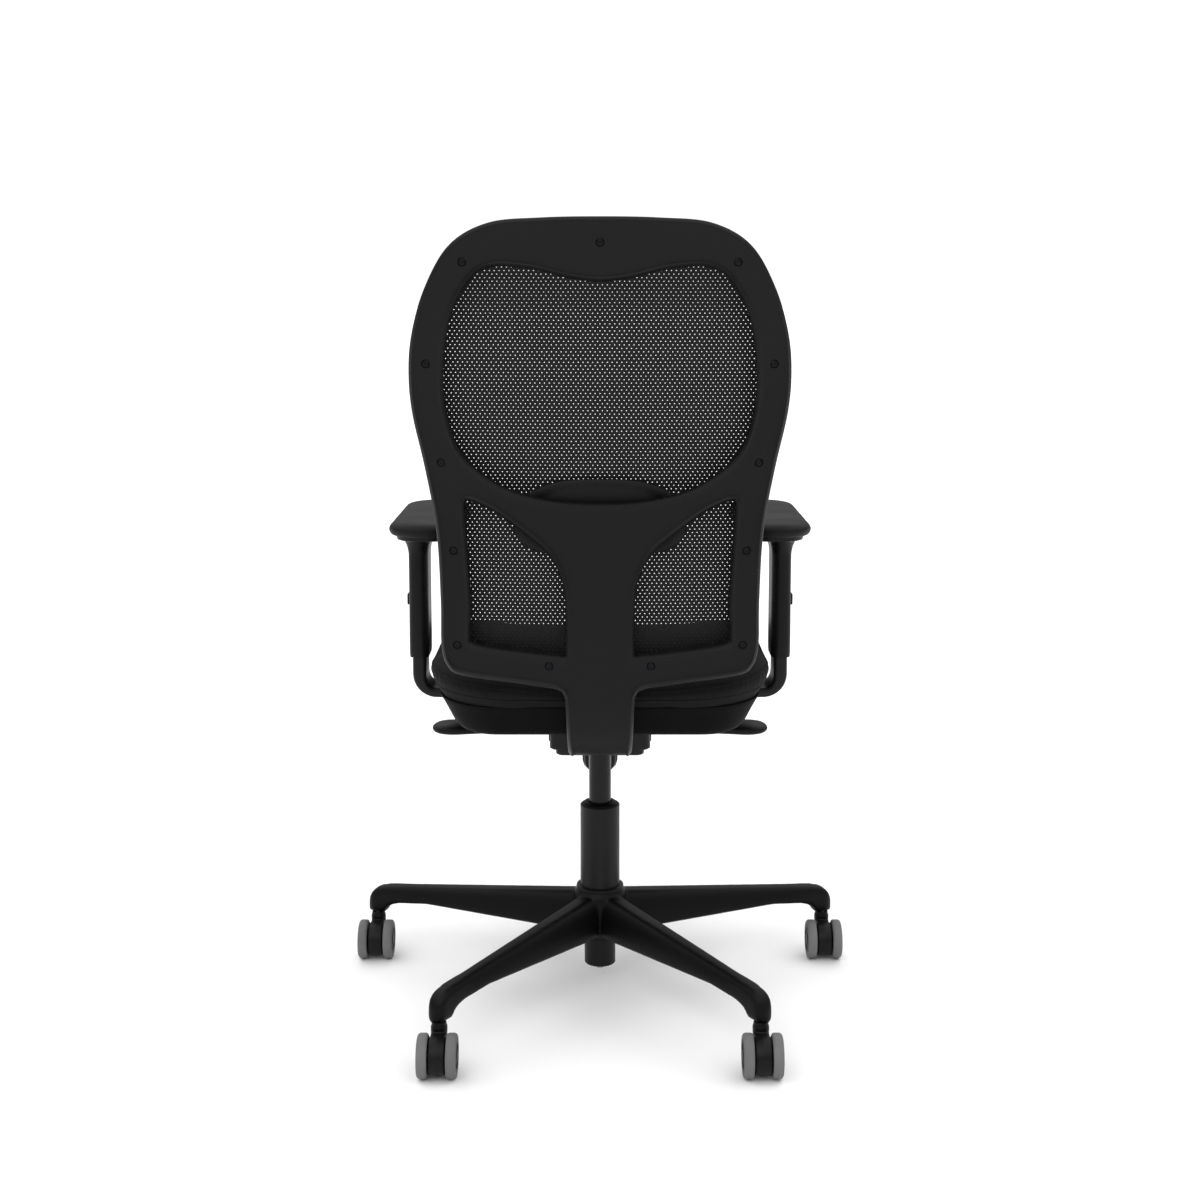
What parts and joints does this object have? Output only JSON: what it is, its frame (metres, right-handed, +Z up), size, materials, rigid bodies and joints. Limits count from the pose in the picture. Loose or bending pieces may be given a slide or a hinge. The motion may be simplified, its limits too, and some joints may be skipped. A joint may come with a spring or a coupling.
{
  "type": "swivel office chair",
  "caption": "Mesh-back swivel office chair with height adjustable arms, lumbar pad, tilt mechanism, gas lift and a star base on twin wheel casters.",
  "frame": {"origin": "on the floor on the column's axis, under the seat", "axes": "+Z up, the sitter faces -Y, +X is the sitter's left"},
  "size_m": [0.6384, 0.6264, 0.9615],
  "materials": {
    "black_plastic": "fine grained satin black",
    "black_steel": "black powder coat",
    "black_cylinder": "smooth black lacquer",
    "bright_steel": "zinc plated steel",
    "dark_screws": "black oxide",
    "mesh_fabric": "open knitted mesh",
    "seat_fabric": "woven upholstery",
    "soft_pad": "soft touch polyurethane",
    "wheel_tread": "grey soft tread"
  },
  "bodies": {
    "base": {"base_star": "black_plastic", "column_tube": "black_steel", "column_guide_bush": "black_plastic", "thrust_bearing": "bright_steel"},
    "gas_rod": {"gas_rod": "bright_steel", "column_clip": "bright_steel"},
    "mechanism": {"gas_cylinder": "black_cylinder", "mechanism_housing": "black_steel", "tilt_spring": "bright_steel", "tilt_shaft": "bright_steel", "lever_pins": "bright_steel", "seat_plate": "black_steel", "seat_bolts": "bright_steel", "seat_pan": "black_plastic", "seat_cushion": "seat_fabric", "arm_bracket_left": "black_steel", "arm_bracket_right": "black_steel"},
    "valve": {"valve_pin": "bright_steel"},
    "knob": {"tension_knob": "black_plastic"},
    "height_lever": {"height_lever": "black_plastic", "height_lever_paddle": "black_plastic"},
    "tilt_lever": {"tilt_lever": "black_plastic", "tilt_lever_paddle": "black_plastic"},
    "arm_left": {"arm_sleeve_left": "black_plastic", "arm_pad_plate_left": "black_plastic", "arm_pad_left": "soft_pad"},
    "arm_right": {"arm_sleeve_right": "black_plastic", "arm_pad_plate_right": "black_plastic", "arm_pad_right": "soft_pad"},
    "button_left": {"arm_button_left": "black_plastic"},
    "button_right": {"arm_button_right": "black_plastic"},
    "back": {"back_frame": "black_plastic", "mesh_carrier": "black_plastic", "back_mesh": "mesh_fabric", "back_screws": "dark_screws", "back_bracket": "black_steel", "bracket_bolts": "bright_steel"},
    "lumbar": {"lumbar_carrier": "black_plastic", "lumbar_pad": "soft_pad"},
    "caster_1": {"caster_1_housing": "black_plastic", "caster_1_pins": "bright_steel"},
    "wheel_1_left": {"caster_1_wheel_left": "wheel_tread"},
    "wheel_1_right": {"caster_1_wheel_right": "wheel_tread"},
    "caster_2": {"caster_2_housing": "black_plastic", "caster_2_pins": "bright_steel"},
    "wheel_2_left": {"caster_2_wheel_left": "wheel_tread"},
    "wheel_2_right": {"caster_2_wheel_right": "wheel_tread"},
    "caster_3": {"caster_3_housing": "black_plastic", "caster_3_pins": "bright_steel"},
    "wheel_3_left": {"caster_3_wheel_left": "wheel_tread"},
    "wheel_3_right": {"caster_3_wheel_right": "wheel_tread"},
    "caster_4": {"caster_4_housing": "black_plastic", "caster_4_pins": "bright_steel"},
    "wheel_4_left": {"caster_4_wheel_left": "wheel_tread"},
    "wheel_4_right": {"caster_4_wheel_right": "wheel_tread"},
    "caster_5": {"caster_5_housing": "black_plastic", "caster_5_pins": "bright_steel"},
    "wheel_5_left": {"caster_5_wheel_left": "wheel_tread"},
    "wheel_5_right": {"caster_5_wheel_right": "wheel_tread"}
  },
  "joints": [
    {"name": "seat_swivel", "type": "hinge", "parent": "base", "child": "gas_rod", "pos_m": [0, 0, 0.1], "axis": [0, 0, 1], "continuous": true},
    {"name": "seat_lift", "type": "slide", "parent": "gas_rod", "child": "mechanism", "axis": [0, 0, 1], "range_m": [0, 0.12]},
    {"name": "back_tilt", "type": "hinge", "parent": "mechanism", "child": "back", "pos_m": [0, 0.035, 0.338], "axis": [-1, 0, 0], "range_deg": [0, 20], "stiffness_Nm_per_rad": 60, "springref_deg": -20.05},
    {"name": "lumbar_slide", "type": "slide", "parent": "back", "child": "lumbar", "axis": [0, 0.035, 0.9994], "range_m": [-0.02, 0.02]},
    {"name": "tension_turn", "type": "hinge", "parent": "mechanism", "child": "knob", "pos_m": [0, -0.1, 0.27], "axis": [0, 0, 1], "range_deg": [0, 360]},
    {"name": "height_lever_lift", "type": "hinge", "parent": "mechanism", "child": "height_lever", "pos_m": [-0.07, -0.06, 0.336], "axis": [0, 1, 0], "range_deg": [0, 3.4], "stiffness_Nm_per_rad": 6, "springref_deg": -5.73},
    {"name": "tilt_lever_lift", "type": "hinge", "parent": "mechanism", "child": "tilt_lever", "pos_m": [0.07, -0.06, 0.336], "axis": [0, -1, 0], "range_deg": [0, 3.4], "stiffness_Nm_per_rad": 6, "springref_deg": -5.73},
    {"name": "valve_press", "type": "slide", "parent": "mechanism", "child": "valve", "axis": [0, 0, 1], "range_m": [-0.0045, 0]},
    {"name": "arm_lift_left", "type": "slide", "parent": "mechanism", "child": "arm_left", "axis": [0, 0, 1], "range_m": [0, 0.08]},
    {"name": "arm_lift_right", "type": "slide", "parent": "mechanism", "child": "arm_right", "axis": [0, 0, 1], "range_m": [0, 0.08]},
    {"name": "button_press_left", "type": "slide", "parent": "arm_left", "child": "button_left", "axis": [-1, 0, 0], "range_m": [0, 0.003], "stiffness_N_per_m": 400, "springref_m": -0.003},
    {"name": "button_press_right", "type": "slide", "parent": "arm_right", "child": "button_right", "axis": [1, 0, 0], "range_m": [0, 0.003], "stiffness_N_per_m": 400, "springref_m": -0.003},
    {"name": "caster_1_swivel", "type": "hinge", "parent": "base", "child": "caster_1", "pos_m": [0.18339, 0.25241, 0.06], "axis": [0, 0, 1], "continuous": true},
    {"name": "wheel_1_left_spin", "type": "hinge", "parent": "caster_1", "child": "wheel_1_left", "pos_m": [0.18339, 0.27741, 0.025], "axis": [1, 0, 0], "continuous": true},
    {"name": "wheel_1_right_spin", "type": "hinge", "parent": "caster_1", "child": "wheel_1_right", "pos_m": [0.18339, 0.27741, 0.025], "axis": [1, 0, 0], "continuous": true},
    {"name": "caster_2_swivel", "type": "hinge", "parent": "base", "child": "caster_2", "pos_m": [-0.18339, 0.25241, 0.06], "axis": [0, 0, 1], "continuous": true},
    {"name": "wheel_2_left_spin", "type": "hinge", "parent": "caster_2", "child": "wheel_2_left", "pos_m": [-0.18339, 0.27741, 0.025], "axis": [1, 0, 0], "continuous": true},
    {"name": "wheel_2_right_spin", "type": "hinge", "parent": "caster_2", "child": "wheel_2_right", "pos_m": [-0.18339, 0.27741, 0.025], "axis": [1, 0, 0], "continuous": true},
    {"name": "caster_3_swivel", "type": "hinge", "parent": "base", "child": "caster_3", "pos_m": [-0.29673, -0.09641, 0.06], "axis": [0, 0, 1], "continuous": true},
    {"name": "wheel_3_left_spin", "type": "hinge", "parent": "caster_3", "child": "wheel_3_left", "pos_m": [-0.29673, -0.07141, 0.025], "axis": [1, 0, 0], "continuous": true},
    {"name": "wheel_3_right_spin", "type": "hinge", "parent": "caster_3", "child": "wheel_3_right", "pos_m": [-0.29673, -0.07141, 0.025], "axis": [1, 0, 0], "continuous": true},
    {"name": "caster_4_swivel", "type": "hinge", "parent": "base", "child": "caster_4", "pos_m": [0, -0.312, 0.06], "axis": [0, 0, 1], "continuous": true},
    {"name": "wheel_4_left_spin", "type": "hinge", "parent": "caster_4", "child": "wheel_4_left", "pos_m": [0, -0.287, 0.025], "axis": [1, 0, 0], "continuous": true},
    {"name": "wheel_4_right_spin", "type": "hinge", "parent": "caster_4", "child": "wheel_4_right", "pos_m": [0, -0.287, 0.025], "axis": [1, 0, 0], "continuous": true},
    {"name": "caster_5_swivel", "type": "hinge", "parent": "base", "child": "caster_5", "pos_m": [0.29673, -0.09641, 0.06], "axis": [0, 0, 1], "continuous": true},
    {"name": "wheel_5_left_spin", "type": "hinge", "parent": "caster_5", "child": "wheel_5_left", "pos_m": [0.29673, -0.07141, 0.025], "axis": [1, 0, 0], "continuous": true},
    {"name": "wheel_5_right_spin", "type": "hinge", "parent": "caster_5", "child": "wheel_5_right", "pos_m": [0.29673, -0.07141, 0.025], "axis": [1, 0, 0], "continuous": true}
  ],
  "couplings": [
    {"joint": "valve_press", "follows": "height_lever_lift", "m_per_rad": -0.07}
  ]
}
